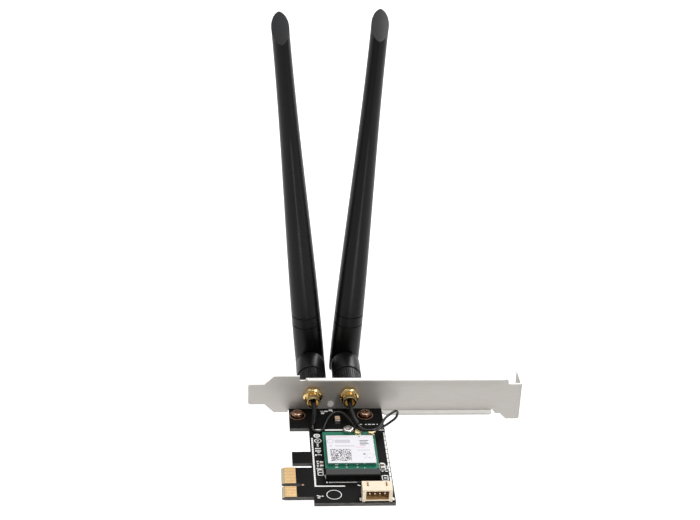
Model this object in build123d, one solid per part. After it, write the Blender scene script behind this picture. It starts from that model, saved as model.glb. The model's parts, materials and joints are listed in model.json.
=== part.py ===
from build123d import *
import os
from math import cos, radians, tan

# Wireless expansion card with two swivel antennas, in millimetres.
# Pieces are laid out from the slot bracket: X from the tongue's tip along the bracket, Y from the
# bracket's inner face towards the outside, Z up from the bracket's centre line. On saving they are
# moved so that the origin lies on the tab's clamped face, in line with the screw notch.

# Slot bracket: folded steel sheet
SHEET = 0.86
BRACKET_LENGTH = 120.02
BRACKET_WIDTH = 18.42
TONGUE_LENGTH = 7.1
TONGUE_WIDTH = 10.19
TONGUE_CORNER = 1.2
BEND_RADIUS = 0.5
FLANGE_DEPTH = 2.2
FLANGE_CHAMFER = 1.1
TOP_FLANGE_HEIGHT = 8.5
TOP_FLANGE_START = 24.9
TOP_FLANGE_TO_END = 7.42
RELIEF_START = 22.2
RELIEF_FLOOR = 7.0
BOTTOM_FLANGE_TO_END = 12.92
TAB_DEPTH = 11.43
TAB_TOP = 4.96
TAB_BOTTOM = 13.08
TAB_NECK = 6.2
TAB_FLARE_START = 10.2
TAB_CORNER = 1.2
NOTCH_WIDTH = 4.42
NOTCH_INSET = 3.4
NOTCH_REACH = 6.1
EAR_WIDTH = 7.0
EAR_DEPTH = 9.6
EAR_CORNER = 2.0
PIP_RADIUS = 1.5
PIP_HEIGHT = 0.25
PIP_ABOVE_BOARD = 2.1

# Circuit board
BOARD_THICKNESS = 1.6
BOARD_DROP = 7.05
BOARD_GAP = 0.4
BOARD_LEFT = 25.9
BOARD_WIDTH = 32.35
BOARD_FRONT = 67.7
FLANGE_WIDTH = 40.55
FLANGE_FRONT = 15.6
HOOK_BACK = 32.7
HOOK_WIDTH = 8.15
HOOK_REACH = 7.8
KEY_FROM_BRACKET = 55.5
KEY_WIDTH = 1.9
KEY_DEPTH = 7.65
LONG_ROW = 11.65
SHORT_ROW = 8.15
EDGE_REACH = 12.6
EDGE_BEVEL_LENGTH = 1.2
EDGE_BEVEL_DEPTH = 0.45

# Gold contacts of the edge connector
CONTACT_PITCH = 1.0
CONTACT_WIDTH = 0.85
CONTACT_LENGTH = 4.6
CONTACT_SETBACK = 0.05
CONTACT_FOIL = 0.05
LONG_ROW_COUNT = 11
SHORT_ROW_COUNT = 7

# Screws through the board into the bracket's ears
SCREW_FROM_BRACKET = 5.6
LEFT_SCREW_INSET = 3.6
RIGHT_SCREW_INSET = 7.6
SCREW_RADIUS = 1.5
SCREW_HEAD_RADIUS = 2.5
SCREW_HEAD_HEIGHT = 1.9
SCREW_HEAD_EDGE = 0.9
SCREW_HOLE_CLEARANCE = 0.15
SCREW_LENGTH = 5.0
RECESS_WIDTH = 0.6
RECESS_LENGTH = 2.4
RECESS_DEPTH = 0.7

# Radio module
MODULE_WIDTH = 22.0
MODULE_LENGTH = 30.0
MODULE_THICKNESS = 0.8
MODULE_LIFT = 1.8
MODULE_MIDDLE = 16.3
MODULE_BACK = 22.2
MODULE_NOTCH_RADIUS = 1.75
MODULE_EDGE_WIDTH = 19.85
MODULE_EDGE_LENGTH = 4.0
SHIELD_SIZE = 19.8
SHIELD_HEIGHT = 1.35
SHIELD_WALL = 0.2
SHIELD_SETBACK = 4.6
LABEL_THICKNESS = 0.1
LABEL_MARGIN = 0.1
STANDOFF_RADIUS = 2.4
HOLD_SCREW_RADIUS = 1.0
HOLD_HEAD_RADIUS = 2.35
HOLD_HEAD_HEIGHT = 2.0
HOLD_HEAD_EDGE = 0.8
HOLD_SLOT_WIDTH = 0.6
HOLD_SLOT_LENGTH = 2.4
HOLD_SLOT_DEPTH = 0.6

# Module socket
SOCKET_WIDTH = 21.9
SOCKET_DEPTH = 4.2
SOCKET_HEIGHT = 3.2
SOCKET_GRIP = 2.8
SOCKET_SLOT_CLEARANCE = 0.12
SOCKET_CHAMFER = 0.4
SOCKET_PITCH = 0.5
SOCKET_ROW = 36
SOCKET_TAIL_WIDTH = 0.22
SOCKET_TAIL_LENGTH = 0.8
SOCKET_TAIL_THICKNESS = 0.15

# Coaxial receptacles on the module and the plugs on them
RECEPTACLE_SETBACK = 1.5
RECEPTACLE_LEFT = 3.9
RECEPTACLE_RIGHT = 9.5
RECEPTACLE_BASE = 2.6
RECEPTACLE_BASE_HEIGHT = 0.3
RECEPTACLE_RADIUS = 0.75
RECEPTACLE_HEIGHT = 0.7
PLUG_RADIUS = 1.35
PLUG_WALL = 0.3
PLUG_HEIGHT = 0.85
PLUG_TAIL_LENGTH = 1.9
PLUG_TAIL_WIDTH = 1.4
PLUG_CLEARANCE = 0.04

# Leads and their heat-shrink sleeves
LEAD_DIAMETER = 1.13
SLEEVE_DIAMETER = 2.0
SLEEVE_BORE = 1.4

# Side-entry header
HEADER_WIDTH = 12.0
HEADER_DEPTH = 6.2
HEADER_HEIGHT = 5.7
HEADER_INSET = 1.45
HEADER_SETBACK = 0.4
HEADER_WALL = 1.5
HEADER_LIFT = 0.45
HEADER_FOOT = 1.2
HEADER_FLOOR = 1.15
HEADER_ROOF = 0.65
HEADER_BACK_WALL = 1.6
HEADER_SLOT_WIDTH = 0.7
HEADER_SLOT_INSET = 1.9
HEADER_SLOT_SETBACK = 0.6
HEADER_SLOT_LENGTH = 2.8
HEADER_PINS = 4
HEADER_PITCH = 2.0
HEADER_PIN = 0.5
HEADER_PIN_REACH = 3.4
HEADER_TAIL = 1.5
HEADER_TAB_REACH = 0.9
HEADER_TAB_LENGTH = 1.7
HEADER_TAB_SETBACK = 0.7
HEADER_TAB_HEIGHT = 0.35

# Chip parts on the board
CAPACITOR_LENGTH = 3.2
CAPACITOR_WIDTH = 1.6
CAPACITOR_HEIGHT = 0.9
LEFT_CAPACITOR_INSET = 4.1
LEFT_CAPACITOR_FROM_BRACKET = 42.5
RIGHT_CAPACITOR_INSET = 3.4
RIGHT_CAPACITOR_FROM_BRACKET = 43.9
RESISTOR_LENGTH = 2.0
RESISTOR_WIDTH = 1.25
RESISTOR_HEIGHT = 0.5
LEFT_RESISTOR_INSET = 3.3
LEFT_UPPER_SPACING = 7.7
LEFT_LOWER_SPACING = 4.6
RIGHT_RESISTOR_INSET = 2.9
RIGHT_SPACING = 7.4
FILTER_LENGTH = 3.6
FILTER_WIDTH = 2.1
FILTER_HEIGHT = 1.9
FILTER_FROM_BRACKET = 10.9
FILTER_FROM_LEFT = 12.45

# Bulkhead jacks
JACK_LEFT = 28.0
JACK_PITCH = 15.75
JACK_THREAD_RADIUS = 3.175
JACK_HOLE_CLEARANCE = 0.1
JACK_HEX = 8.0
JACK_HEX_LENGTH = 3.0
JACK_HEX_CORNER = 0.33
JACK_HEX_EDGE = 0.8
JACK_BARREL_RADIUS = 2.8
JACK_REAR = 6.7
JACK_REAR_BORE = 2.0
JACK_REAR_BORE_DEPTH = 2.4
JACK_REACH = 10.0
JACK_BORE = 2.3
JACK_BORE_DEPTH = 9.0
JACK_PIN_RADIUS = 0.465
JACK_PIN_PROUD = 0.6
INSULATOR_FACE = 2.4
WASHER_RADIUS = 4.6
WASHER_THICKNESS = 0.6
NUT_HEX = 8.0
NUT_THICKNESS = 2.2
THREAD_CLEARANCE = 0.05

# Antenna plug: knurled coupling ring over a brass nut and plug body
RING_RADIUS = 6.3
RING_START = 4.1
RING_END = 12.8
RING_GROOVES = 40
RING_GROOVE_RADIUS = 0.24
RING_EDGE = 0.5
NUT_SHELL_RADIUS = 4.6
BOND_LINE = 0.02
PLUG_FLANGE_RADIUS = 4.0
PLUG_FLANGE_THICKNESS = 1.0
PLUG_FLANGE_CLEARANCE = 0.1
PLUG_SPIGOT_CLEARANCE = 0.06
PLUG_SPIGOT_LENGTH = 1.6
STEM_RADIUS = 2.5
STEM_BORE = 0.8
STEM_LENGTH = 7.4
STEM_HEAD_RADIUS = 3.6
STEM_HEAD_THICKNESS = 1.0
SOCKET_CONTACT_RADIUS = 0.9
SOCKET_CONTACT_DEPTH = 2.4

# Swivel base and tilt hinge
BASE_RADIUS = 6.5
BASE_GAP = 0.25
BASE_EDGE = 0.45
SWIVEL_CLEARANCE = 0.05
HEAD_CLEARANCE = 0.25
HINGE_FROM_BRACKET = 32.0
TONGUE_THICKNESS = 5.0
HINGE_EYE_RADIUS = 5.0
HINGE_CLEARANCE = 0.3
SWING_CLEARANCE = 0.35
HINGE_PIN_RADIUS = 1.2
HINGE_PIN_DEPTH = 1.4
HINGE_PIN_RECESS = 0.35
FEED_RADIUS = 0.65
FEED_CLEARANCE = 0.12
FEED_END_GAP = 2.0

# Antenna shell, measured from the hinge axis along the shell
ROD_BASE_RADIUS = 6.6
ROD_STRAIGHT = 8.0
ROD_LOW_HEIGHT = 55.0
ROD_LOW_HALF_WIDTH = 5.75
ROD_LOW_FRONT = 6.0
ROD_LOW_BACK = 5.8
ROD_MID_HEIGHT = 112.0
ROD_MID_HALF_WIDTH = 4.2
ROD_MID_FRONT = 5.5
ROD_MID_BACK = 4.3
ROD_TOP_HALF_WIDTH = 3.75
ROD_TOP_FRONT = 5.3
ROD_TOP_BACK = 3.8
LEAF_BOTTOM = 149.6
LEAF_TOP = 161.0
LEAF_ROOF_ANGLE = 8.0
ROD_WALL = 1.5
ROD_WEB = 1.6
ROD_CAVITY_END = 138.0
GROOVE_HEIGHTS = (17.9, 22.6)
GROOVE_WIDTH = 0.45
GROOVE_DEPTH = 0.25
LEFT_LEAN = -5.85
RIGHT_LEAN = 3.42
LEFT_TILT = 0.0
RIGHT_TILT = 1.7

# Dipole inside the shell
DIPOLE_FEED = 74.0
DIPOLE_ARM = 31.0
DIPOLE_SLEEVE_RADIUS = 2.2
DIPOLE_SLEEVE_WALL = 0.35
DIPOLE_SLEEVE_END = 1.0
DIPOLE_SOLDER = 0.01
WHIP_RADIUS = 0.5

# Places worked out from the sizes above
TOP_FLANGE_END = BRACKET_LENGTH - TOP_FLANGE_TO_END
BOTTOM_FLANGE_END = BRACKET_LENGTH - BOTTOM_FLANGE_TO_END
BOARD_TOP = -BOARD_DROP
BOARD_UNDER = BOARD_TOP - BOARD_THICKNESS
BOARD_RIGHT = BOARD_LEFT + BOARD_WIDTH
FLANGE_LEFT = BOARD_RIGHT - FLANGE_WIDTH
EDGE_TIP = BOARD_LEFT - EDGE_REACH
EDGE_BACK = -KEY_FROM_BRACKET + LONG_ROW
EDGE_FRONT = -KEY_FROM_BRACKET - SHORT_ROW
MODULE_X = BOARD_LEFT + MODULE_MIDDLE
MODULE_UNDER = BOARD_TOP + MODULE_LIFT
MODULE_TOP = MODULE_UNDER + MODULE_THICKNESS
MODULE_FRONT = -MODULE_BACK - MODULE_LENGTH
SOCKET_BACK = MODULE_FRONT + SOCKET_GRIP
SOCKET_FRONT = SOCKET_BACK - SOCKET_DEPTH
RECEPTACLE_Y = -MODULE_BACK - RECEPTACLE_SETBACK
PLUG_LOW = MODULE_TOP + RECEPTACLE_BASE_HEIGHT + PLUG_CLEARANCE
PLUG_LEAD_Z = PLUG_LOW + PLUG_HEIGHT / 2
RECEPTACLE_XS = {"left": MODULE_X + RECEPTACLE_LEFT, "right": MODULE_X + RECEPTACLE_RIGHT}
JACK_XS = {"left": JACK_LEFT, "right": JACK_LEFT + JACK_PITCH}
LEANS = {"left": LEFT_LEAN, "right": RIGHT_LEAN}
TILTS = {"left": LEFT_TILT, "right": RIGHT_TILT}
SCREW_XS = (FLANGE_LEFT + LEFT_SCREW_INSET, BOARD_RIGHT - RIGHT_SCREW_INSET)
WASHER_END = SHEET + WASHER_THICKNESS
NUT_END = WASHER_END + NUT_THICKNESS
RING_BORE = NUT_SHELL_RADIUS + BOND_LINE
PLUG_FLANGE_START = JACK_REACH + BOND_LINE
PLUG_FLANGE_END = PLUG_FLANGE_START + PLUG_FLANGE_THICKNESS
BASE_START = RING_END + BASE_GAP
STEM_END = PLUG_FLANGE_END + STEM_LENGTH
BASE_END = HINGE_FROM_BRACKET - ROD_BASE_RADIUS - HINGE_CLEARANCE
HEEL_REACH = JACK_PITCH - ROD_BASE_RADIUS - SWING_CLEARANCE
SEAT_X = BRACKET_LENGTH - SHEET
NOTCH_Z = -TAB_BOTTOM + NOTCH_INSET
TO_ORIGIN = Pos(-SEAT_X, -NOTCH_REACH, 0)

# Leads, point by point: from the jack, over the board, to the last bend before the plug on the module
ROUTES = {
    "left": [
        (28.0, -4.35, 0.0), (28.0, -6.6, 0.0), (28.3, -8.9, -0.55), (28.4, -11.0, -1.75),
        (28.25, -12.6, -3.1), (28.05, -13.9, -4.5), (27.7, -15.2, -5.6), (27.25, -16.9, -6.25),
        (28.15, -18.55, -6.42), (29.9, -19.1, -6.42), (31.5, -18.2, -6.42), (32.25, -16.4, -6.25),
        (32.95, -14.4, -5.75), (33.8, -12.2, -5.15), (35.2, -9.7, -4.5), (37.4, -7.7, -4.0),
        (40.3, -8.5, -3.6), (42.4, -11.8, -3.6), (43.8, -15.6, PLUG_LEAD_Z), (44.7, -18.7, PLUG_LEAD_Z)],
    "right": [
        (43.75, -4.35, 0.0), (43.75, -6.8, 0.0), (43.9, -9.4, -0.4), (44.1, -12.2, -0.75),
        (44.6, -15.2, -1.2), (45.4, -18.0, -1.65), (46.4, -20.8, -2.1), (48.2, -23.9, -2.3),
        (51.3, -24.8, -2.1), (54.4, -24.0, -1.9), (56.3, -20.9, -1.6), (58.0, -17.0, -1.1),
        (60.6, -13.9, -1.1), (63.58, -10.78, -1.2), (64.4, -9.9, -3.25), (63.58, -10.78, -5.3),
        (61.0, -13.8, -5.2), (58.3, -17.4, -4.7), (55.6, -20.9, PLUG_LEAD_Z)]}
SLEEVE_POINT_COUNT = 7


def block(x0, x1, y0, y1, z0, z1):
    """A box between two corners."""
    return Pos((x0 + x1) / 2, (y0 + y1) / 2, (z0 + z1) / 2) * Box(x1 - x0, y1 - y0, z1 - z0)


def bar_x(radius, x0, x1, y=0.0, z=0.0):
    """A round bar along X."""
    return Pos((x0 + x1) / 2, y, z) * Rot(0, 90, 0) * Cylinder(radius, x1 - x0)


def bar_y(radius, y0, y1, x=0.0, z=0.0):
    """A round bar along Y."""
    return Pos(x, (y0 + y1) / 2, z) * Rot(90, 0, 0) * Cylinder(radius, y1 - y0)


def bar_z(radius, z0, z1, x=0.0, y=0.0):
    """A round bar along Z."""
    return Pos(x, y, (z0 + z1) / 2) * Cylinder(radius, z1 - z0)


def hex_y(across, y0, y1, x=0.0, z=0.0):
    """A hexagonal bar along Y."""
    side = RegularPolygon(across / 2, 6, major_radius=False)
    return Pos(x, y1, z) * (Plane.XZ * extrude(side, y1 - y0))


def slab(points, z0, z1):
    """An outline in X and Y, given thickness along Z."""
    return Pos(0, 0, z0) * extrude(Polygon(*points, align=None), z1 - z0, dir=(0, 0, 1))


def wall(points, y0, y1):
    """An outline in X and Z, given thickness along Y."""
    return Pos(0, y1, 0) * (Plane.XZ * extrude(Polygon(*points, align=None), y1 - y0, dir=(0, 0, 1)))


def edges_along(solid, axis, test):
    """The straight edges along an axis whose middle passes a test."""
    return [e for e in solid.edges().filter_by(axis) if test(e.center())]


def save(name, shape):
    """Moves a piece to the part's own origin and writes it."""
    os.makedirs("parts", exist_ok=True)
    solids = [s.moved(TO_ORIGIN) for s in shape.solids()]
    export_step(solids[0] if len(solids) == 1 else Compound(children=solids), f"parts/{name}.step")


# Bracket

def flange_profile(height, direction):
    """The cross-section of a long edge folded inwards, in Y and Z."""
    middle = height - direction * SHEET / 2
    low = height - direction * (SHEET + BEND_RADIUS + SHEET)
    path = FilletPolyline((-FLANGE_DEPTH, middle), (SHEET / 2, middle), (SHEET / 2, low),
                          radius=BEND_RADIUS + SHEET / 2)
    return trace(path, SHEET)


def fold_along_x(height, direction, x0, x1):
    """A folded long edge between two places along the bracket."""
    return Pos(x0, 0, 0) * (Plane.YZ * extrude(flange_profile(height, direction), x1 - x0))


def make_bracket():
    half = BRACKET_WIDTH / 2
    tongue = TONGUE_WIDTH / 2
    taper = half - tongue
    bend = SHEET + BEND_RADIUS
    ear_low = BOARD_UNDER - SHEET
    strip_top = TOP_FLANGE_HEIGHT - bend
    strip_low = ear_low + bend
    neck = SEAT_X + SHEET - TAB_NECK
    flare = TAB_BOTTOM - TAB_FLARE_START
    outline = [(0, -tongue), (TONGUE_LENGTH, -tongue), (TONGUE_LENGTH + taper, -half),
               (FLANGE_LEFT - BOARD_GAP, -half), (FLANGE_LEFT - BOARD_GAP, strip_low),
               (BOTTOM_FLANGE_END + BOARD_GAP, strip_low),
               (BOTTOM_FLANGE_END + 2 * SHEET, -TAB_FLARE_START),
               (neck - flare, -TAB_FLARE_START), (neck, -TAB_BOTTOM), (SEAT_X - BEND_RADIUS, -TAB_BOTTOM),
               (SEAT_X - BEND_RADIUS, TAB_TOP), (neck, TAB_TOP),
               (TOP_FLANGE_END + SHEET, strip_top), (TOP_FLANGE_START, strip_top),
               (TOP_FLANGE_START - SHEET, RELIEF_FLOOR), (RELIEF_START, RELIEF_FLOOR), (RELIEF_START, half),
               (TONGUE_LENGTH + taper, half), (TONGUE_LENGTH, tongue), (0, tongue)]
    body = wall(outline, 0, SHEET)
    body = fillet(edges_along(body, Axis.Y, lambda c: c.X < SHEET), TONGUE_CORNER)
    top = fold_along_x(TOP_FLANGE_HEIGHT, 1, TOP_FLANGE_START, TOP_FLANGE_END)
    top = chamfer(edges_along(top, Axis.Z, lambda c: c.Y < -FLANGE_DEPTH + SHEET), FLANGE_CHAMFER)
    bottom = fold_along_x(ear_low, -1, BOARD_RIGHT + BOARD_GAP, BOTTOM_FLANGE_END)
    bottom = chamfer(edges_along(bottom, Axis.Z, lambda c: c.Y < -FLANGE_DEPTH + SHEET), FLANGE_CHAMFER)
    body = body + top + bottom
    for x in SCREW_XS:
        body += make_ear(x, ear_low)
    for x in JACK_XS.values():
        body -= bar_y(JACK_THREAD_RADIUS + JACK_HOLE_CLEARANCE, -SHEET, 2 * SHEET, x)
    pip_z = BOARD_TOP + PIP_ABOVE_BOARD
    pip = bar_y(PIP_RADIUS, -PIP_HEIGHT, SHEET / 2, (JACK_LEFT + JACK_PITCH / 2), pip_z)
    return body + pip + make_tab()


def make_ear(x, low):
    """A lug folded in under the board, with a threaded hole for the board's screw."""
    profile = flange_profile(low, -1)
    ear = Pos(x - EAR_WIDTH / 2, 0, 0) * (Plane.YZ * extrude(profile, EAR_WIDTH))
    lug = block(x - EAR_WIDTH / 2, x + EAR_WIDTH / 2, -EAR_DEPTH, -FLANGE_DEPTH, low, low + SHEET)
    lug = fillet(edges_along(lug, Axis.Z, lambda c: c.Y < -EAR_DEPTH + SHEET), EAR_CORNER)
    hole = SCREW_RADIUS + THREAD_CLEARANCE
    return ear + lug - bar_z(hole, low - SHEET, low + 2 * SHEET, x, -SCREW_FROM_BRACKET)


def make_tab():
    """The end of the sheet bent outwards, with the open notch for the case screw."""
    middle = SEAT_X + SHEET / 2
    path = FilletPolyline((SEAT_X - BEND_RADIUS - SHEET, SHEET / 2), (middle, SHEET / 2),
                          (middle, TAB_DEPTH), radius=BEND_RADIUS + SHEET / 2)
    tab = Pos(0, 0, -TAB_BOTTOM) * extrude(trace(path, SHEET), TAB_BOTTOM + TAB_TOP)
    tab = fillet(edges_along(tab, Axis.X, lambda c: c.Y > TAB_DEPTH - SHEET), TAB_CORNER)
    notch = bar_x(NOTCH_WIDTH / 2, SEAT_X - SHEET, SEAT_X + 2 * SHEET, NOTCH_REACH, NOTCH_Z)
    mouth = block(SEAT_X - SHEET, SEAT_X + 2 * SHEET, NOTCH_REACH - NOTCH_WIDTH / 2,
                  NOTCH_REACH + NOTCH_WIDTH / 2, NOTCH_Z - 2 * NOTCH_INSET, NOTCH_Z)
    return tab - notch - mouth


# Circuit board with its edge connector

def make_board():
    hook_front = -HOOK_BACK - HOOK_WIDTH
    outline = [(FLANGE_LEFT, -BOARD_GAP), (BOARD_RIGHT, -BOARD_GAP), (BOARD_RIGHT, -BOARD_FRONT),
               (BOARD_LEFT, -BOARD_FRONT), (BOARD_LEFT, EDGE_FRONT), (EDGE_TIP, EDGE_FRONT),
               (EDGE_TIP, EDGE_BACK), (BOARD_LEFT, EDGE_BACK), (BOARD_LEFT, hook_front),
               (BOARD_LEFT - HOOK_REACH, hook_front), (BOARD_LEFT - HOOK_REACH, -HOOK_BACK),
               (BOARD_LEFT, -HOOK_BACK), (BOARD_LEFT, -FLANGE_FRONT), (FLANGE_LEFT, -FLANGE_FRONT)]
    board = slab(outline, BOARD_UNDER, BOARD_TOP)
    for face, depth in ((BOARD_TOP, -EDGE_BEVEL_DEPTH), (BOARD_UNDER, EDGE_BEVEL_DEPTH)):
        bevel = [(EDGE_TIP, face + depth), (EDGE_TIP + EDGE_BEVEL_LENGTH, face), (EDGE_TIP, face)]
        board -= wall(bevel, EDGE_FRONT, EDGE_BACK)
    key_end = EDGE_TIP + KEY_DEPTH - KEY_WIDTH / 2
    board -= block(EDGE_TIP - KEY_WIDTH, key_end, -KEY_FROM_BRACKET - KEY_WIDTH / 2,
                   -KEY_FROM_BRACKET + KEY_WIDTH / 2, BOARD_UNDER, BOARD_TOP)
    board -= bar_z(KEY_WIDTH / 2, BOARD_UNDER, BOARD_TOP, key_end, -KEY_FROM_BRACKET)
    for x in SCREW_XS:
        hole = SCREW_RADIUS + SCREW_HOLE_CLEARANCE
        board -= bar_z(hole, BOARD_UNDER, BOARD_TOP, x, -SCREW_FROM_BRACKET)
    return board


def make_edge_contacts():
    """Gold pads on both faces, on each side of the key."""
    start = EDGE_TIP + EDGE_BEVEL_LENGTH + CONTACT_SETBACK
    rows = [(-KEY_FROM_BRACKET + KEY_WIDTH / 2, 1, LONG_ROW_COUNT),
            (-KEY_FROM_BRACKET - KEY_WIDTH / 2, -1, SHORT_ROW_COUNT)]
    pads = []
    for first, step, count in rows:
        for i in range(count):
            y = first + step * CONTACT_PITCH * (i + 0.5)
            for low in (BOARD_TOP, BOARD_UNDER - CONTACT_FOIL):
                pads.append(block(start, start + CONTACT_LENGTH, y - CONTACT_WIDTH / 2,
                                  y + CONTACT_WIDTH / 2, low, low + CONTACT_FOIL))
    return Compound(children=pads)


def make_bracket_screws():
    """Pan-head screws with a cross recess."""
    screws = []
    for x in SCREW_XS:
        y = -SCREW_FROM_BRACKET
        head_top = BOARD_TOP + SCREW_HEAD_HEIGHT
        head = bar_z(SCREW_HEAD_RADIUS, BOARD_TOP, head_top, x, y)
        head = fillet(head.edges().group_by(Axis.Z)[-1], SCREW_HEAD_EDGE)
        for turn in (0, 90):
            slot = Box(RECESS_LENGTH, RECESS_WIDTH, 2 * RECESS_DEPTH)
            head -= Pos(x, y, head_top) * Rot(0, 0, turn) * slot
        screws.append(head + bar_z(SCREW_RADIUS, BOARD_TOP - SCREW_LENGTH, BOARD_TOP, x, y))
    return Compound(children=screws)


# Radio module, its socket and its hold-down

def make_module_board():
    half = MODULE_WIDTH / 2
    edge = MODULE_EDGE_WIDTH / 2
    shoulder = MODULE_FRONT + MODULE_EDGE_LENGTH
    board = block(MODULE_X - half, MODULE_X + half, shoulder, -MODULE_BACK, MODULE_UNDER, MODULE_TOP)
    board += block(MODULE_X - edge, MODULE_X + edge, MODULE_FRONT, shoulder, MODULE_UNDER, MODULE_TOP)
    return board - bar_z(MODULE_NOTCH_RADIUS, MODULE_UNDER, MODULE_TOP, MODULE_X, -MODULE_BACK)


def shield_box(inset, z0, z1):
    """A block on the module with the shield's outline, drawn in from it by an inset."""
    half = SHIELD_SIZE / 2 - inset
    back = -MODULE_BACK - SHIELD_SETBACK - inset
    front = -MODULE_BACK - SHIELD_SETBACK - SHIELD_SIZE + inset
    return block(MODULE_X - half, MODULE_X + half, front, back, z0, z1)


def make_module_shield():
    top = MODULE_TOP + SHIELD_HEIGHT
    can = shield_box(0, MODULE_TOP, top)
    can = fillet(edges_along(can, Axis.Z, lambda c: True), 2 * SHIELD_WALL)
    return can - shield_box(SHIELD_WALL, MODULE_TOP, top - SHIELD_WALL)


def make_module_label():
    low = MODULE_TOP + SHIELD_HEIGHT
    return shield_box(LABEL_MARGIN, low, low + LABEL_THICKNESS)


def make_module_standoff():
    post = bar_z(STANDOFF_RADIUS, BOARD_TOP, MODULE_UNDER, MODULE_X, -MODULE_BACK)
    spigot = bar_z(MODULE_NOTCH_RADIUS - THREAD_CLEARANCE, MODULE_UNDER, MODULE_TOP, MODULE_X, -MODULE_BACK)
    bore = bar_z(HOLD_SCREW_RADIUS + THREAD_CLEARANCE, BOARD_TOP, MODULE_TOP, MODULE_X, -MODULE_BACK)
    return post + spigot - bore


def make_module_screw():
    top = MODULE_TOP + HOLD_HEAD_HEIGHT
    head = bar_z(HOLD_HEAD_RADIUS, MODULE_TOP, top, MODULE_X, -MODULE_BACK)
    head = fillet(head.edges().group_by(Axis.Z)[-1], HOLD_HEAD_EDGE)
    for turn in (45, 135):
        slot = Box(HOLD_SLOT_LENGTH, HOLD_SLOT_WIDTH, 2 * HOLD_SLOT_DEPTH)
        head -= Pos(MODULE_X, -MODULE_BACK, top) * Rot(0, 0, turn) * slot
    shank_end = BOARD_TOP + THREAD_CLEARANCE
    return head + bar_z(HOLD_SCREW_RADIUS, shank_end, MODULE_TOP, MODULE_X, -MODULE_BACK)


def make_socket_housing():
    half = SOCKET_WIDTH / 2
    top = BOARD_TOP + SOCKET_HEIGHT
    body = block(MODULE_X - half, MODULE_X + half, SOCKET_FRONT, SOCKET_BACK, BOARD_TOP, top)
    body = chamfer(edges_along(body, Axis.X, lambda c: c.Z > top - SHEET and c.Y < SOCKET_BACK - SHEET),
                   SOCKET_CHAMFER)
    gap = SOCKET_SLOT_CLEARANCE
    edge = MODULE_EDGE_WIDTH / 2 + gap
    body -= block(MODULE_X - edge, MODULE_X + edge, MODULE_FRONT - gap, SOCKET_BACK,
                  MODULE_UNDER - gap, MODULE_TOP + gap)
    return body


def make_socket_contacts():
    """Flat solder tails along both long sides of the socket."""
    tails = []
    first = MODULE_X - SOCKET_PITCH * (SOCKET_ROW - 1) / 2
    for i in range(SOCKET_ROW):
        x = first + SOCKET_PITCH * i
        for y0, y1 in ((SOCKET_FRONT - SOCKET_TAIL_LENGTH, SOCKET_FRONT),
                       (SOCKET_BACK, SOCKET_BACK + SOCKET_TAIL_LENGTH)):
            tails.append(block(x - SOCKET_TAIL_WIDTH / 2, x + SOCKET_TAIL_WIDTH / 2, y0, y1,
                               BOARD_TOP, BOARD_TOP + SOCKET_TAIL_THICKNESS))
    return Compound(children=tails)


# Coaxial receptacles, plugs, leads and sleeves

def make_receptacles():
    cups = []
    for x in RECEPTACLE_XS.values():
        half = RECEPTACLE_BASE / 2
        pad = block(x - half, x + half, RECEPTACLE_Y - half, RECEPTACLE_Y + half,
                    MODULE_TOP, MODULE_TOP + RECEPTACLE_BASE_HEIGHT)
        cup_top = MODULE_TOP + RECEPTACLE_HEIGHT
        cups.append(pad + bar_z(RECEPTACLE_RADIUS, MODULE_TOP, cup_top, x, RECEPTACLE_Y))
    return Compound(children=cups)


def plug_direction(side):
    """The way a plug's tail points: to the last bend of its lead."""
    last = ROUTES[side][-1]
    return Vector(last[0] - RECEPTACLE_XS[side], last[1] - RECEPTACLE_Y, 0).normalized()


def lead_points(side):
    """The whole route of a lead, to the face of its plug's tail."""
    away = plug_direction(side) * PLUG_TAIL_LENGTH
    return ROUTES[side] + [(RECEPTACLE_XS[side] + away.X, RECEPTACLE_Y + away.Y, PLUG_LEAD_Z)]


def make_pigtail_plug(side):
    """A snap-on cap with a crimped tail that points along the end of its lead."""
    x = RECEPTACLE_XS[side]
    top = PLUG_LOW + PLUG_HEIGHT
    turn = Vector(0, 1, 0).get_signed_angle(plug_direction(side), Vector(0, 0, 1))
    tail = block(-PLUG_TAIL_WIDTH / 2, PLUG_TAIL_WIDTH / 2, 0, PLUG_TAIL_LENGTH, PLUG_LOW, top)
    tail = Pos(x, RECEPTACLE_Y, 0) * Rot(0, 0, turn) * tail
    cap = bar_z(PLUG_RADIUS, PLUG_LOW, top, x, RECEPTACLE_Y)
    cap = fillet(cap.edges().group_by(Axis.Z)[-1], PLUG_WALL / 2)
    hollow = bar_z(RECEPTACLE_RADIUS + PLUG_CLEARANCE, PLUG_LOW, top - PLUG_WALL, x, RECEPTACLE_Y)
    return cap + tail - hollow


def route_radii(points):
    """The largest arc that each corner of a route has room for."""
    radii = []
    for before, corner, after in zip(points, points[1:], points[2:]):
        run_in = Vector(*corner) - Vector(*before)
        run_out = Vector(*after) - Vector(*corner)
        half_turn = radians(run_in.get_angle(run_out) / 2)
        radii.append(0.45 * min(run_in.length, run_out.length) / tan(half_turn))
    return radii


def lead_path(points):
    return FilletPolyline(*points, radius=route_radii(points))


def tube(path, outer, inner=0.0):
    """A round section carried along a path, hollow where an inner diameter is given."""
    section = Circle(outer / 2)
    if inner:
        section -= Circle(inner / 2)
    return sweep(Plane(path @ 0, z_dir=path % 0) * section, path=path)


def make_lead(side):
    path = lead_path(lead_points(side))
    radii = [round(r, 2) for r in route_radii(lead_points(side))]
    print(side, "lead length", round(path.length, 2), "radii", radii)
    return tube(path, LEAD_DIAMETER)


def make_sleeve(side):
    return tube(lead_path(ROUTES[side][:SLEEVE_POINT_COUNT]), SLEEVE_DIAMETER, SLEEVE_BORE)


# Bulkhead jacks in the bracket

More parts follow.
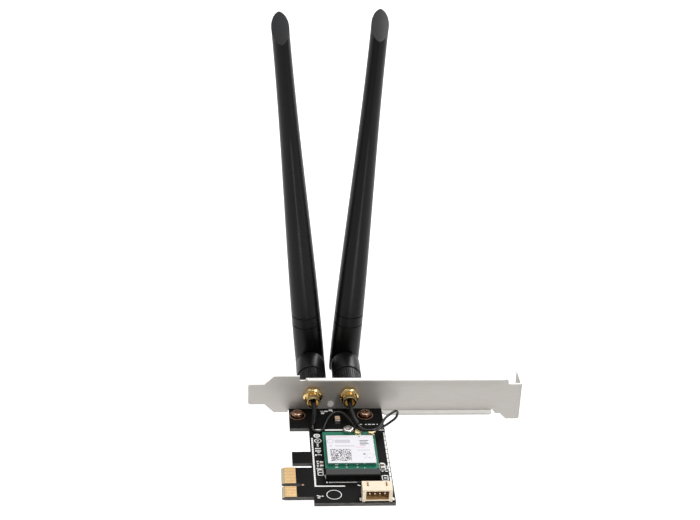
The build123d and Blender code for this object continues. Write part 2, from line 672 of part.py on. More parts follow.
def make_jack_body(x):
    hexagon = hex_y(JACK_HEX, -JACK_HEX_LENGTH, 0, x)
    turned = bar_y(JACK_HEX / 2 / cos(radians(30)) - JACK_HEX_CORNER, -JACK_HEX_LENGTH, 0, x)
    hexagon &= chamfer(turned.edges().group_by(Axis.Y)[0], JACK_HEX_EDGE)
    barrel = bar_y(JACK_BARREL_RADIUS, -JACK_REAR, -JACK_HEX_LENGTH, x)
    thread = bar_y(JACK_THREAD_RADIUS, 0, JACK_REACH, x)
    bore = bar_y(JACK_BORE, JACK_REACH - JACK_BORE_DEPTH, JACK_REACH, x)
    rear = bar_y(JACK_REAR_BORE, -JACK_REAR, -JACK_REAR + JACK_REAR_BORE_DEPTH, x)
    core = bar_y(JACK_PIN_RADIUS + BOND_LINE, -JACK_REAR + JACK_REAR_BORE_DEPTH, JACK_REACH, x)
    return hexagon + barrel + thread - bore - rear - core


def make_jack_insulator(x):
    start = JACK_REACH - JACK_BORE_DEPTH
    face = JACK_REACH - INSULATOR_FACE
    plug = bar_y(JACK_BORE - BOND_LINE, start, face, x)
    return plug - bar_y(JACK_PIN_RADIUS + BOND_LINE, start, face, x)


def make_jack_contact(x):
    return bar_y(JACK_PIN_RADIUS, -JACK_REAR + JACK_REAR_BORE_DEPTH, JACK_REACH - JACK_PIN_PROUD, x)


def make_jack_washer(x):
    ring = bar_y(WASHER_RADIUS, SHEET, WASHER_END, x)
    return ring - bar_y(JACK_THREAD_RADIUS + JACK_HOLE_CLEARANCE, SHEET, WASHER_END, x)


def make_jack_nut(x):
    nut = hex_y(NUT_HEX, WASHER_END, NUT_END, x)
    return nut - bar_y(JACK_THREAD_RADIUS + THREAD_CLEARANCE, WASHER_END, NUT_END, x)


def both_jacks(make):
    """One piece for each jack, as a group."""
    return Compound(children=[make(x) for x in JACK_XS.values()])


# Antenna plug

def make_coupling_ring(x):
    """A moulded ring with straight knurling all round."""
    ring = Circle(RING_RADIUS)
    ring -= PolarLocations(RING_RADIUS, RING_GROOVES) * Circle(RING_GROOVE_RADIUS)
    ring -= Circle(RING_BORE)
    knurled = Pos(x, RING_END, 0) * (Plane.XZ * extrude(ring, RING_END - RING_START))
    rim = bar_y(RING_RADIUS, RING_START, RING_END, x)
    rim = chamfer(rim.edges().group_by(Axis.Y)[0] + rim.edges().group_by(Axis.Y)[-1], RING_EDGE)
    return knurled & rim


def make_coupling_nut(x):
    """A brass nut that draws the plug's flange on to the jack."""
    shell = bar_y(NUT_SHELL_RADIUS, RING_START, RING_END, x)
    recess_start = JACK_REACH - PLUG_SPIGOT_LENGTH
    recess_end = PLUG_FLANGE_END + PLUG_FLANGE_CLEARANCE
    shell -= bar_y(JACK_THREAD_RADIUS + THREAD_CLEARANCE, RING_START, recess_start, x)
    shell -= bar_y(PLUG_FLANGE_RADIUS + PLUG_FLANGE_CLEARANCE, recess_start, recess_end, x)
    return shell - bar_y(STEM_RADIUS + PLUG_FLANGE_CLEARANCE, recess_end, RING_END, x)


def make_plug_body(x):
    """The plug's outer conductor: a spigot in the jack, a flange on its face and a stem for the swivel."""
    spigot = bar_y(JACK_BORE - PLUG_SPIGOT_CLEARANCE, JACK_REACH - PLUG_SPIGOT_LENGTH, PLUG_FLANGE_START, x)
    flange = bar_y(PLUG_FLANGE_RADIUS, PLUG_FLANGE_START, PLUG_FLANGE_END, x)
    stem = bar_y(STEM_RADIUS, PLUG_FLANGE_END, STEM_END, x)
    head = bar_y(STEM_HEAD_RADIUS, STEM_END - STEM_HEAD_THICKNESS, STEM_END, x)
    body = spigot + flange + stem + head
    body -= bar_y(plug_insulator_bore(), JACK_REACH - PLUG_SPIGOT_LENGTH, PLUG_FLANGE_END, x)
    return body - bar_y(STEM_BORE, PLUG_FLANGE_END, STEM_END, x)


def plug_insulator_bore():
    return (JACK_BORE - PLUG_SPIGOT_CLEARANCE + SOCKET_CONTACT_RADIUS) / 2


def make_plug_insulator(x):
    start = JACK_REACH - PLUG_SPIGOT_LENGTH + BOND_LINE
    ring = bar_y(plug_insulator_bore() - BOND_LINE, start, PLUG_FLANGE_END, x)
    return ring - bar_y(SOCKET_CONTACT_RADIUS + BOND_LINE, start, PLUG_FLANGE_END, x)


def make_plug_contact(x):
    """The socket that takes the jack's pin."""
    start = JACK_REACH - PLUG_SPIGOT_LENGTH
    socket = bar_y(SOCKET_CONTACT_RADIUS, start, PLUG_FLANGE_END, x)
    return socket - bar_y(JACK_PIN_RADIUS + BOND_LINE, start, start + SOCKET_CONTACT_DEPTH, x)


# Swivel base, hinge and antenna shell, drawn upright about the hinge axis

def place_antenna(side, shape):
    """Sets a piece on its hinge and leans it to its side about the jack's axis."""
    return Pos(JACK_XS[side], HINGE_FROM_BRACKET, 0) * Rot(0, LEANS[side], 0) * shape


def place_rod(side, shape):
    """Sets a piece of the upper part on its hinge, tilted back as far as it stands."""
    return place_antenna(side, Rot(-TILTS[side], 0, 0) * shape)


def make_swivel_base():
    start = BASE_START - HINGE_FROM_BRACKET
    end = BASE_END - HINGE_FROM_BRACKET
    collar = bar_y(BASE_RADIUS, start, end)
    collar = fillet(collar.edges().group_by(Axis.Y)[0] + collar.edges().group_by(Axis.Y)[-1], BASE_EDGE)
    half = TONGUE_THICKNESS / 2
    eye = bar_x(HINGE_EYE_RADIUS, -half, half)
    neck = block(-half, half, end - BASE_EDGE, 0, -HINGE_EYE_RADIUS, HINGE_EYE_RADIUS)
    base = collar + eye + neck
    stem_end = STEM_END - HINGE_FROM_BRACKET
    head_start = stem_end - STEM_HEAD_THICKNESS - HEAD_CLEARANCE
    feed = FEED_RADIUS + FEED_CLEARANCE
    base -= bar_y(STEM_RADIUS + SWIVEL_CLEARANCE, start, head_start)
    base -= bar_y(STEM_HEAD_RADIUS + HEAD_CLEARANCE, head_start, stem_end + HEAD_CLEARANCE)
    base -= bar_y(feed, stem_end, 0)
    base -= block(-feed, feed, -feed, HINGE_EYE_RADIUS, -feed, HINGE_EYE_RADIUS)
    for x0, x1 in ((-half, -half + HINGE_PIN_DEPTH), (half - HINGE_PIN_DEPTH, half)):
        base -= bar_x(HINGE_PIN_RADIUS + SWIVEL_CLEARANCE, x0, x1)
    return base


def make_hinge_pins():
    """Two stub pins, pressed through the shell's ears into the base's eye."""
    inner = TONGUE_THICKNESS / 2 - HINGE_PIN_DEPTH + SWIVEL_CLEARANCE
    outer = ROD_BASE_RADIUS - HINGE_PIN_RECESS
    pins = [bar_x(HINGE_PIN_RADIUS, inner, outer), bar_x(HINGE_PIN_RADIUS, -outer, -inner)]
    return Compound(children=pins)


def rod_section(height, half_width, front, back):
    """A slice of the shell: four arcs, with a sharp front edge and a blunter back."""
    corners = [(0, -front), (half_width, 0), (0, back), (-half_width, 0), (0, -front)]
    arcs = []
    for start, end in zip(corners, corners[1:]):
        depth = abs(start[1] + end[1])
        radius = (half_width ** 2 + depth ** 2) / (2 * half_width)
        arcs.append(RadiusArc(start, end, -radius))
    return Pos(0, 0, height) * make_face(arcs)


def rod_loft(inset, bottom, top):
    """The tapering form of the shell, drawn in by an inset, between two heights."""
    heights = (bottom, ROD_LOW_HEIGHT, ROD_MID_HEIGHT, top)
    widths = (ROD_BASE_RADIUS, ROD_LOW_HALF_WIDTH, ROD_MID_HALF_WIDTH, ROD_TOP_HALF_WIDTH)
    fronts = (ROD_BASE_RADIUS, ROD_LOW_FRONT, ROD_MID_FRONT, ROD_TOP_FRONT)
    backs = (ROD_BASE_RADIUS, ROD_LOW_BACK, ROD_MID_BACK, ROD_TOP_BACK)
    sizes = zip(heights, widths, fronts, backs)
    slices = [rod_section(h, w - inset, f - inset, b - inset) for h, w, f, b in sizes]
    return loft(slices, ruled=inset > 0)


def leaf_cutter():
    """Everything above the two sloping facets of the tip."""
    reach = LEAF_TOP
    drop = reach * tan(radians(LEAF_ROOF_ANGLE))
    roof = Polygon((-reach, -drop), (0, 0), (reach, -drop), (reach, reach), (-reach, reach), align=None)
    prism = Pos(0, reach, 0) * (Plane.XZ * extrude(roof, 2 * reach))
    rise = LEAF_TOP - LEAF_BOTTOM
    slope = Vector(0, 1, 0).get_angle(Vector(0, ROD_TOP_FRONT + ROD_TOP_BACK, rise))
    middle = Pos(0, (ROD_TOP_BACK - ROD_TOP_FRONT) / 2, (LEAF_TOP + LEAF_BOTTOM) / 2)
    return middle * Rot(slope, 0, 0) * prism


def make_antenna_shell():
    over = LEAF_TOP + ROD_TOP_HALF_WIDTH
    shell = rod_loft(0, ROD_STRAIGHT, over) + bar_z(ROD_BASE_RADIUS, 0, ROD_STRAIGHT)
    heel = bar_z(ROD_BASE_RADIUS, -ROD_BASE_RADIUS, 0)
    heel &= bar_x(ROD_BASE_RADIUS, -ROD_BASE_RADIUS, ROD_BASE_RADIUS)
    heel &= bar_y(HEEL_REACH, -ROD_BASE_RADIUS, ROD_BASE_RADIUS)
    shell = shell + heel - leaf_cutter()
    web_top = HINGE_EYE_RADIUS + HINGE_CLEARANCE + ROD_WEB
    shell -= rod_loft(ROD_WALL, max(web_top, ROD_STRAIGHT), ROD_CAVITY_END)
    slot = TONGUE_THICKNESS / 2 + HINGE_CLEARANCE
    reach = HINGE_EYE_RADIUS + HINGE_CLEARANCE
    shell -= block(-slot, slot, -2 * ROD_BASE_RADIUS, reach, -2 * ROD_BASE_RADIUS, reach)
    shell -= bar_z(FEED_RADIUS + FEED_CLEARANCE, 0, ROD_STRAIGHT + ROD_WEB)
    shell -= bar_x(HINGE_PIN_RADIUS + BOND_LINE, -ROD_BASE_RADIUS, ROD_BASE_RADIUS)
    for height in GROOVE_HEIGHTS:
        shell -= make_groove(height)
    return shell


def make_groove(height):
    """A shallow ring cut round the shell."""
    share = (height - ROD_STRAIGHT) / (ROD_LOW_HEIGHT - ROD_STRAIGHT)
    low = (ROD_LOW_HALF_WIDTH, ROD_LOW_FRONT, ROD_LOW_BACK)
    sizes = [ROD_BASE_RADIUS + share * (size - ROD_BASE_RADIUS) - GROOVE_DEPTH for size in low]
    ring = Pos(0, 0, height) * Circle(2 * ROD_BASE_RADIUS) - rod_section(height, *sizes)
    return extrude(ring, GROOVE_WIDTH)


def make_feed_base():
    """The coaxial feed from the plug's stem to the hinge."""
    return bar_y(FEED_RADIUS, PLUG_FLANGE_END - HINGE_FROM_BRACKET, -FEED_END_GAP)


def make_feed_rod():
    """The coaxial feed from the hinge to the dipole."""
    return bar_z(FEED_RADIUS, FEED_END_GAP, DIPOLE_FEED)


def make_dipole_sleeve():
    """The lower arm of the dipole: a brass tube soldered to the feed at its upper end."""
    tube_body = bar_z(DIPOLE_SLEEVE_RADIUS, DIPOLE_FEED - DIPOLE_ARM, DIPOLE_FEED)
    tube_body -= bar_z(DIPOLE_SLEEVE_RADIUS - DIPOLE_SLEEVE_WALL, DIPOLE_FEED - DIPOLE_ARM,
                       DIPOLE_FEED - DIPOLE_SLEEVE_END)
    return tube_body - bar_z(FEED_RADIUS + DIPOLE_SOLDER, DIPOLE_FEED - DIPOLE_SLEEVE_END, DIPOLE_FEED)


def make_dipole_whip():
    return bar_z(WHIP_RADIUS, DIPOLE_FEED, DIPOLE_FEED + DIPOLE_ARM)


# Header and chip parts

HEADER_RIGHT = BOARD_RIGHT - HEADER_INSET
HEADER_LEFT = HEADER_RIGHT - HEADER_WIDTH
HEADER_FRONT = -BOARD_FRONT + HEADER_SETBACK
HEADER_BACK = HEADER_FRONT + HEADER_DEPTH
HEADER_MIDDLE = (HEADER_LEFT + HEADER_RIGHT) / 2
HEADER_PIN_XS = [HEADER_MIDDLE + HEADER_PITCH * (i - (HEADER_PINS - 1) / 2) for i in range(HEADER_PINS)]
HEADER_PIN_Z = BOARD_TOP + (HEADER_FLOOR + HEADER_HEIGHT - HEADER_ROOF) / 2


def make_header_housing():
    top = BOARD_TOP + HEADER_HEIGHT
    body = block(HEADER_LEFT, HEADER_RIGHT, HEADER_FRONT, HEADER_BACK, BOARD_TOP, top)
    mouth_back = HEADER_BACK - HEADER_BACK_WALL
    body -= block(HEADER_LEFT + HEADER_WALL, HEADER_RIGHT - HEADER_WALL, HEADER_FRONT, mouth_back,
                  BOARD_TOP + HEADER_FLOOR, top - HEADER_ROOF)
    body -= block(HEADER_LEFT + HEADER_FOOT, HEADER_RIGHT - HEADER_FOOT, HEADER_FRONT, HEADER_BACK,
                  BOARD_TOP, BOARD_TOP + HEADER_LIFT)
    slot_back = HEADER_BACK - HEADER_SLOT_SETBACK
    for x in (HEADER_LEFT + HEADER_SLOT_INSET, HEADER_RIGHT - HEADER_SLOT_INSET - HEADER_SLOT_WIDTH):
        body -= block(x, x + HEADER_SLOT_WIDTH, slot_back - HEADER_SLOT_LENGTH, slot_back,
                      top - HEADER_ROOF, top)
    for x in HEADER_PIN_XS:
        half = HEADER_PIN / 2 + BOND_LINE
        body -= block(x - half, x + half, mouth_back, HEADER_BACK, HEADER_PIN_Z - half, HEADER_PIN_Z + half)
    return body


def make_header_pins():
    """Bent square pins through the back wall, down to the board, and a solder tab at each side."""
    pins = []
    half = HEADER_PIN / 2
    foot_back = HEADER_BACK + HEADER_TAIL
    for x in HEADER_PIN_XS:
        pin = block(x - half, x + half, HEADER_BACK - HEADER_BACK_WALL - HEADER_PIN_REACH, foot_back,
                    HEADER_PIN_Z - half, HEADER_PIN_Z + half)
        pin += block(x - half, x + half, foot_back - HEADER_PIN, foot_back, BOARD_TOP, HEADER_PIN_Z)
        pins.append(pin)
    tab_front = HEADER_FRONT + HEADER_TAB_SETBACK
    for x in (HEADER_LEFT - HEADER_TAB_REACH, HEADER_RIGHT):
        pins.append(block(x, x + HEADER_TAB_REACH, tab_front, tab_front + HEADER_TAB_LENGTH,
                          BOARD_TOP, BOARD_TOP + HEADER_TAB_HEIGHT))
    return Compound(children=pins)


def chip(x, y, width, length, height):
    """A small block-shaped part that stands on the board."""
    return block(x - width / 2, x + width / 2, y - length / 2, y + length / 2, BOARD_TOP, BOARD_TOP + height)


def make_capacitors():
    places = [(BOARD_LEFT + LEFT_CAPACITOR_INSET, -LEFT_CAPACITOR_FROM_BRACKET),
              (BOARD_RIGHT - RIGHT_CAPACITOR_INSET, -RIGHT_CAPACITOR_FROM_BRACKET)]
    return Compound(children=[chip(x, y, CAPACITOR_WIDTH, CAPACITOR_LENGTH, CAPACITOR_HEIGHT)
                              for x, y in places])


def make_resistors():
    left = BOARD_LEFT + LEFT_RESISTOR_INSET
    places = [(left, -LEFT_CAPACITOR_FROM_BRACKET + LEFT_UPPER_SPACING),
              (left, -LEFT_CAPACITOR_FROM_BRACKET - LEFT_LOWER_SPACING),
              (BOARD_RIGHT - RIGHT_RESISTOR_INSET, -RIGHT_CAPACITOR_FROM_BRACKET - RIGHT_SPACING)]
    return Compound(children=[chip(x, y, RESISTOR_WIDTH, RESISTOR_LENGTH, RESISTOR_HEIGHT)
                              for x, y in places])


def make_filter_capacitor():
    x = BOARD_LEFT + FILTER_FROM_LEFT
    return chip(x, -FILTER_FROM_BRACKET, FILTER_WIDTH, FILTER_LENGTH, FILTER_HEIGHT)


def main():
    save("bracket", make_bracket())
    save("circuit_board", make_board())
    save("edge_contacts", make_edge_contacts())
    save("bracket_screws", make_bracket_screws())
    save("module_board", make_module_board())
    save("module_shield", make_module_shield())
    save("module_label", make_module_label())
    save("module_standoff", make_module_standoff())
    save("module_screw", make_module_screw())
    save("module_socket", make_socket_housing())
    save("module_socket_contacts", make_socket_contacts())
    save("coax_receptacles", make_receptacles())
    save("header_housing", make_header_housing())
    save("header_pins", make_header_pins())
    save("chip_capacitors", make_capacitors())
    save("chip_resistors", make_resistors())
    save("filter_capacitor", make_filter_capacitor())
    save("jack_insulators", both_jacks(make_jack_insulator))
    save("jack_contacts", both_jacks(make_jack_contact))
    save("jack_washers", both_jacks(make_jack_washer))
    save("jack_nuts", both_jacks(make_jack_nut))
    save("plug_insulators", both_jacks(make_plug_insulator))
    save("plug_contacts", both_jacks(make_plug_contact))
    for side, x in JACK_XS.items():
        save(f"{side}_pigtail_plug", make_pigtail_plug(side))
        save(f"{side}_pigtail_lead", make_lead(side))
        save(f"{side}_lead_sleeve", make_sleeve(side))
        save(f"{side}_jack_body", make_jack_body(x))
        save(f"{side}_coupling_ring", make_coupling_ring(x))
        save(f"{side}_coupling_nut", make_coupling_nut(x))
        save(f"{side}_antenna_plug", make_plug_body(x))
        save(f"{side}_swivel_base", place_antenna(side, make_swivel_base()))
        save(f"{side}_hinge_pins", place_rod(side, make_hinge_pins()))
        save(f"{side}_antenna_shell", place_rod(side, make_antenna_shell()))
        save(f"{side}_feed_base", place_antenna(side, make_feed_base()))
        save(f"{side}_feed_rod", place_rod(side, make_feed_rod()))
        save(f"{side}_dipole_sleeve", place_rod(side, make_dipole_sleeve()))
        save(f"{side}_dipole_whip", place_rod(side, make_dipole_whip()))


main()
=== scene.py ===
import json
from math import pi, radians

import bmesh
import bpy
from mathutils import Matrix, Vector


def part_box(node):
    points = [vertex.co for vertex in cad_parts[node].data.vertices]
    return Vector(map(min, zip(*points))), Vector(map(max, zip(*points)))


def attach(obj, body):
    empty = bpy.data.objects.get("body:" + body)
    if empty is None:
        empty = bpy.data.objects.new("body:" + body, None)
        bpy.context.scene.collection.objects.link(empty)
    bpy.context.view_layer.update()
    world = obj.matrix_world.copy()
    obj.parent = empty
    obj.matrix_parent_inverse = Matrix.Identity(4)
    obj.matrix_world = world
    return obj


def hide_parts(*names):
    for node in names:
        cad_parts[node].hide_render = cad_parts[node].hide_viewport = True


# Wireless expansion card with two swivel antennas.
# Places are given in millimetres as on the bracket: X from the tongue's tip along the bracket, Y from
# its inner face towards the outside, Z up from its centre line. place() turns them into the row frame.

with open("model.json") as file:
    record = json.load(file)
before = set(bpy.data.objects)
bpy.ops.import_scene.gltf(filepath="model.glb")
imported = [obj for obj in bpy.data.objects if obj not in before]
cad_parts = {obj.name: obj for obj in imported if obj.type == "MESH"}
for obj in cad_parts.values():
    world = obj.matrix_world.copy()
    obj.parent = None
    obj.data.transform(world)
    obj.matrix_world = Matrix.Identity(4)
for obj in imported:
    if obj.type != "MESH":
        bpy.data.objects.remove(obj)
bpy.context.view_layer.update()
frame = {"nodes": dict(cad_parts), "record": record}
nodes = frame["nodes"]
record = frame["record"]
body_of_node = {node: body for body, names in record["behaviour"]["bodies"].items() for node in names}
SIDES = ("left", "right")

MM = 0.001
SEAT_X = 119.16
NOTCH_REACH = 6.1
BOARD_TOP = -7.05


def place(x, y, z=0.0):
    """A point on the bracket's layout, in the row frame."""
    return Vector((x - SEAT_X, y - NOTCH_REACH, z)) * MM


def top_of(node):
    """The height of a node's highest point on the layout."""
    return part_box(node)[1][2] / MM


# Camera, as the photograph was taken: above the antennas' feet, looking down on the board

CAMERA_PLACE = (-0.122065, -0.515065, 0.327863)
CAMERA_YAW = 5.007
CAMERA_PITCH = 27.16
CAMERA_ROLL = 2.501
CAMERA_LENS = 71.436
CAMERA_SENSOR = 36.0
CAMERA_NEAR = 0.01

camera_data = bpy.data.cameras.new("photo_camera")
camera_data.lens = CAMERA_LENS
camera_data.sensor_width = CAMERA_SENSOR
camera_data.clip_start = CAMERA_NEAR
camera = bpy.data.objects.new("photo_camera", camera_data)
camera.matrix_world = (Matrix.Translation(CAMERA_PLACE)
                       @ Matrix.Rotation(radians(-CAMERA_YAW), 4, "Z")
                       @ Matrix.Rotation(radians(90 - CAMERA_PITCH), 4, "X")
                       @ Matrix.Rotation(radians(CAMERA_ROLL), 4, "Z"))
bpy.context.collection.objects.link(camera)
bpy.context.scene.camera = camera


# Materials: one function for colour, one for a node and one for a whole material

def linear(colour):
    """An sRGB hex colour as linear red, green, blue and alpha."""
    parts = [int(colour[i:i + 2], 16) / 255 for i in (1, 3, 5)]
    return [p / 12.92 if p <= 0.04045 else ((p + 0.055) / 1.055) ** 2.4 for p in parts] + [1.0]


def add_node(material, kind, inputs, **settings):
    """Adds a shader node with its settings; inputs are values or other nodes' sockets."""
    node = material.node_tree.nodes.new("ShaderNode" + kind)
    for name, value in settings.items():
        setattr(node, name, value)
    for socket, value in inputs.items():
        if isinstance(value, bpy.types.NodeSocket):
            material.node_tree.links.new(value, node.inputs[socket])
        else:
            node.inputs[socket].default_value = value
    return node


MIX_FIRST = 6
MIX_SECOND = 7
MIX_COLOUR = 2
METAL = {"Metallic": 1.0}
GRAIN_DETAIL = 3.0
EVEN = (0.3, 0.7)
EVERY_WAY = (1, 1, 1)


def surface(name, dark, light, grain, rough, stretch=EVERY_WAY, relief=0.0, sockets=None, spread=EVEN):
    """A material whose colour, roughness and relief all vary with one grain, its size in millimetres."""
    material = bpy.data.materials.new(name)
    material.use_nodes = True
    shader = material.node_tree.nodes["Principled BSDF"]
    for socket, value in (sockets or {}).items():
        shader.inputs[socket].default_value = value
    join = material.node_tree.links.new
    coordinates = add_node(material, "TexCoord", {})
    scale = [1 / (MM * grain * s) for s in stretch]
    grid = add_node(material, "Mapping", {"Vector": coordinates.outputs["Object"], "Scale": scale})
    noise = add_node(material, "TexNoise", {"Vector": grid.outputs[0], "Scale": 1.0, "Detail": GRAIN_DETAIL})
    share = add_node(material, "MapRange", {"Value": noise.outputs["Fac"], "From Min": spread[0],
                                            "From Max": spread[1]})
    colour = add_node(material, "Mix", {0: share.outputs[0], MIX_FIRST: linear(dark),
                                        MIX_SECOND: linear(light)}, data_type="RGBA")
    join(colour.outputs[MIX_COLOUR], shader.inputs["Base Color"])
    gloss = add_node(material, "MapRange", {"Value": share.outputs[0], "To Min": rough[0],
                                            "To Max": rough[1]})
    join(gloss.outputs[0], shader.inputs["Roughness"])
    if relief:
        bump = add_node(material, "Bump", {"Height": noise.outputs["Fac"], "Distance": relief * MM})
        join(bump.outputs[0], shader.inputs["Normal"])
    return material


SOFT = {"Specular IOR Level": 0.2}
SHEEN = {"Specular IOR Level": 0.35}
DULL = {"Specular IOR Level": 0.12}
FLAT = {"Specular IOR Level": 0.04}
WAXY = {"Subsurface Weight": 0.06, "Subsurface Radius": (0.001, 0.0007, 0.0004)}

# Zinc-plated steel sheet, rolled along its length: a warm satin grey that mirrors what is near it softly
zinc_plate = surface("zinc_plated_steel", "#B0ACA7", "#B6B2AD", 0.5, (0.52, 0.58), (14, 1, 1), 0.0003,
                     {"Metallic": 0.45})
# The same sheet where the bent flanges face up, painted near white: a painted highlight from the light above
lit_flange_zinc = surface("painted_highlight_zinc", "#F0EEEA", "#F7F5F1", 0.5, (0.5, 0.6), (14, 1, 1), 0.001,
                      {"Metallic": 0.2})
# Flattened face of the rivet in the bracket, sand-blasted: a matt pale spot
rivet_steel = surface("blasted_steel", "#EFEEED", "#F9F8F7", 0.2, (0.6, 0.75), EVERY_WAY, 0.004)
# Black solder mask over glass-fibre board: a near-black semi-matt film
black_mask = surface("black_solder_mask", "#111111", "#161616", 1.2, (0.42, 0.55), EVERY_WAY, 0.006, FLAT)
# Cut edges of the board: bare glass fibre in a dark grey, layered
glass_fibre = surface("cut_glass_fibre", "#33322F", "#605E5A", 0.3, (0.5, 0.65), (8, 8, 1), 0.006, SOFT)
# Bevelled tip of the edge connector: glass fibre and resin, straw-coloured
bevel_fibre = surface("bevelled_glass_fibre", "#9C9076", "#B2A68B", 0.3, (0.45, 0.6), EVERY_WAY, 0.004)
# Hard gold over nickel on the edge contacts: pale, smooth yellow metal
hard_gold = surface("hard_gold_plate", "#DDB47B", "#E9CC9C", 0.4, (0.4, 0.5), EVERY_WAY, 0.002, METAL)
# Soft gold on the small coaxial plugs and receptacles: pale, bright and thin
plug_gold = surface("soft_gold_plate", "#F0D49B", "#FBEBC8", 0.3, (0.3, 0.42), EVERY_WAY, 0.002, METAL)
# Gold-plated turned brass: a deeper yellow, polished, with fine turning rings
jack_gold = surface("gold_plated_brass", "#E6C078", "#F6E0AC", 0.25, (0.1, 0.18), (8, 1, 8), 0.001, METAL)
# Copper-tinted passivated steel of the bracket screws: grey-brown polished metal
screw_copper = surface("copper_tinted_steel", "#8C6A55", "#C4A48E", 0.3, (0.08, 0.18), EVERY_WAY, 0.002,
                       METAL)
# Bare copper land round each bracket screw under a thin clear film: pale brown metal
land_copper = surface("lacquered_copper", "#B48A70", "#D4AE94", 0.4, (0.3, 0.42), EVERY_WAY, 0.002, METAL)
# Glass-filled liquid crystal polymer of the socket: matt dark grey with a fine mould texture
socket_polymer = surface("liquid_crystal_polymer", "#333233", "#3B3A3B", 0.25, (0.55, 0.68), EVERY_WAY, 0.004,
                         SOFT)
# Front of the socket, between its contact tails: the same moulding painted near black, a painted shade
shaded_socket_front = surface("painted_shade_polymer", "#0B0A0A", "#141212", 0.5, (0.6, 0.7), (1, 8, 8), 0.01, DULL)
# Green solder mask of the radio module: glossy blue-green film
green_mask = surface("green_solder_mask", "#065843", "#0C6D54", 0.7, (0.34, 0.46), EVERY_WAY, 0.004, SHEEN)
# Tinned steel of the shield can: a bright grey that mirrors the green round it
tinned_steel = surface("tinned_steel", "#B4B5B6", "#CFD0D0", 0.8, (0.12, 0.2), EVERY_WAY, 0.002, METAL)
# Coated label paper: white, very slightly mottled
label_paper = surface("coated_label_paper", "#CCCBCF", "#D6D5D9", 0.6, (0.5, 0.6), EVERY_WAY, 0.002, SOFT)
# Nickel-plated steel of the hold-down screw, washers and hinge pins: bright neutral metal
nickel = surface("nickel_plated_steel", "#BDB8B4", "#DDD8D4", 0.3, (0.14, 0.26), EVERY_WAY, 0.002, METAL)
# Matt tin on solder tails, pins and chip ends: pale grey, a little crystalline
tin_plate = surface("matt_tin_plate", "#C2BFBC", "#DEDBD8", 0.15, (0.38, 0.5), EVERY_WAY, 0.002, METAL)
# Natural nylon of the header: cream, slightly waxy
cream_nylon = surface("natural_nylon", "#D3C3A9", "#DCCEB7", 0.8, (0.4, 0.52), EVERY_WAY, 0.004, WAXY)
# Inside of the header: the nylon painted a deeper amber, a painted shade inside the mouth
shaded_amber_nylon = surface("shaded_nylon", "#A07E52", "#B8976A", 0.8, (0.45, 0.55), EVERY_WAY, 0.004, SOFT)
# Fired ceramic of the chip capacitors: dark brown and fine-grained
brown_ceramic = surface("fired_ceramic", "#4A382C", "#6E5441", 0.12, (0.4, 0.55), EVERY_WAY, 0.003, SHEEN)
# Moulded case of the filter capacitor: beige
beige_case = surface("beige_moulding", "#A58B6E", "#BCA080", 0.2, (0.45, 0.6), EVERY_WAY, 0.003, SHEEN)
# Glazed film of the chip resistors: glossy black
resistor_glaze = surface("resistor_glaze", "#0E0E10", "#18181A", 0.15, (0.25, 0.4), EVERY_WAY, 0.002, SHEEN)
# Fluoropolymer insulators inside the jacks: waxy white
fluoropolymer = surface("fluoropolymer", "#E6E5E0", "#F2F1ED", 0.5, (0.4, 0.5), EVERY_WAY, 0.002)
# Turned brass left bare inside the antenna plugs and on the stand-off
turned_brass = surface("turned_brass", "#B08A45", "#CBA765", 0.2, (0.2, 0.32), (6, 1, 6), 0.002, METAL)
# Moulded ABS of the antennas, polished tool: deep satin black
satin_abs = surface("satin_black_abs", "#050505", "#090909", 0.5, (0.3, 0.38), EVERY_WAY, 0.002, SOFT)
# Sloping tips of the antennas, spark-eroded tool: the same ABS with a fine matt grain, painted lighter grey
# as a painted highlight where the tips face up
lit_tip_abs = surface("painted_highlight_tip_abs", "#0C0D0F", "#15161A", 0.2, (0.28, 0.36), EVERY_WAY, 0.006)
# Moulded ABS of the knurled ring and swivel base
ring_abs = surface("ring_black_abs", "#08080A", "#0E0E10", 0.3, (0.34, 0.44), EVERY_WAY, 0.002, SOFT)
# Fluoropolymer jacket of the thin leads: black with a smooth sheen
lead_jacket = surface("lead_jacket", "#040404", "#090909", 0.4, (0.18, 0.26), EVERY_WAY, 0.002)
# Heat-shrink sleeve: soft black polyolefin, faintly wrinkled
shrink_sleeve = surface("heat_shrink_polyolefin", "#060607", "#0D0D10", 0.5, (0.3, 0.42), EVERY_WAY, 0.01,
                        SOFT)
# Drawn brass and copper of the dipole inside each antenna
drawn_brass = surface("drawn_brass", "#B28D49", "#C9A765", 0.3, (0.25, 0.38), (1, 1, 8), 0.002, METAL)
bare_copper = surface("bare_copper", "#B06A48", "#CC8762", 0.3, (0.25, 0.38), (1, 1, 8), 0.002, METAL)
# Screen-printed epoxy ink of the board's outlines: matt white with a slightly uneven film
white_ink = surface("white_epoxy_ink", "#CFCECB", "#F4F3F0", 0.25, (0.5, 0.65), EVERY_WAY, 0.002, SOFT)
# Print on the label: pale grey, rose and black inks in plain fields and bars
grey_ink = surface("grey_label_ink", "#A8A3AC", "#C4BFC8", 0.2, (0.5, 0.6))
rose_ink = surface("rose_label_ink", "#CFA3B8", "#DDBFCD", 0.2, (0.5, 0.6))
dark_ink = surface("dark_label_ink", "#4A464C", "#77727A", 0.2, (0.5, 0.6))
# A speckled field of label print, 0.45 mm a speck: black dots run together on white
speckled_ink = surface("speckled_label_ink", "#2C292E", "#DEDBE0", 0.45, (0.5, 0.6), EVERY_WAY, 0.0, SOFT,
                       (0.42, 0.58))


# Pieces

WELD = 1e-6
FLAT_ANGLE = 0.4
CORNER_ANGLE = 32.0
LEVEL = 0.5
ROUNDING_STEPS = 2
ROUND_PROFILE = 0.5
RING_STEPS = 40


def round_edges(bm, edges, width, steps=ROUNDING_STEPS):
    """Rounds some edges of a mesh."""
    bmesh.ops.bevel(bm, geom=edges, offset=width * MM, offset_type="OFFSET", affect="EDGES", segments=steps,
                    profile=ROUND_PROFILE, material=-1, clamp_overlap=True)


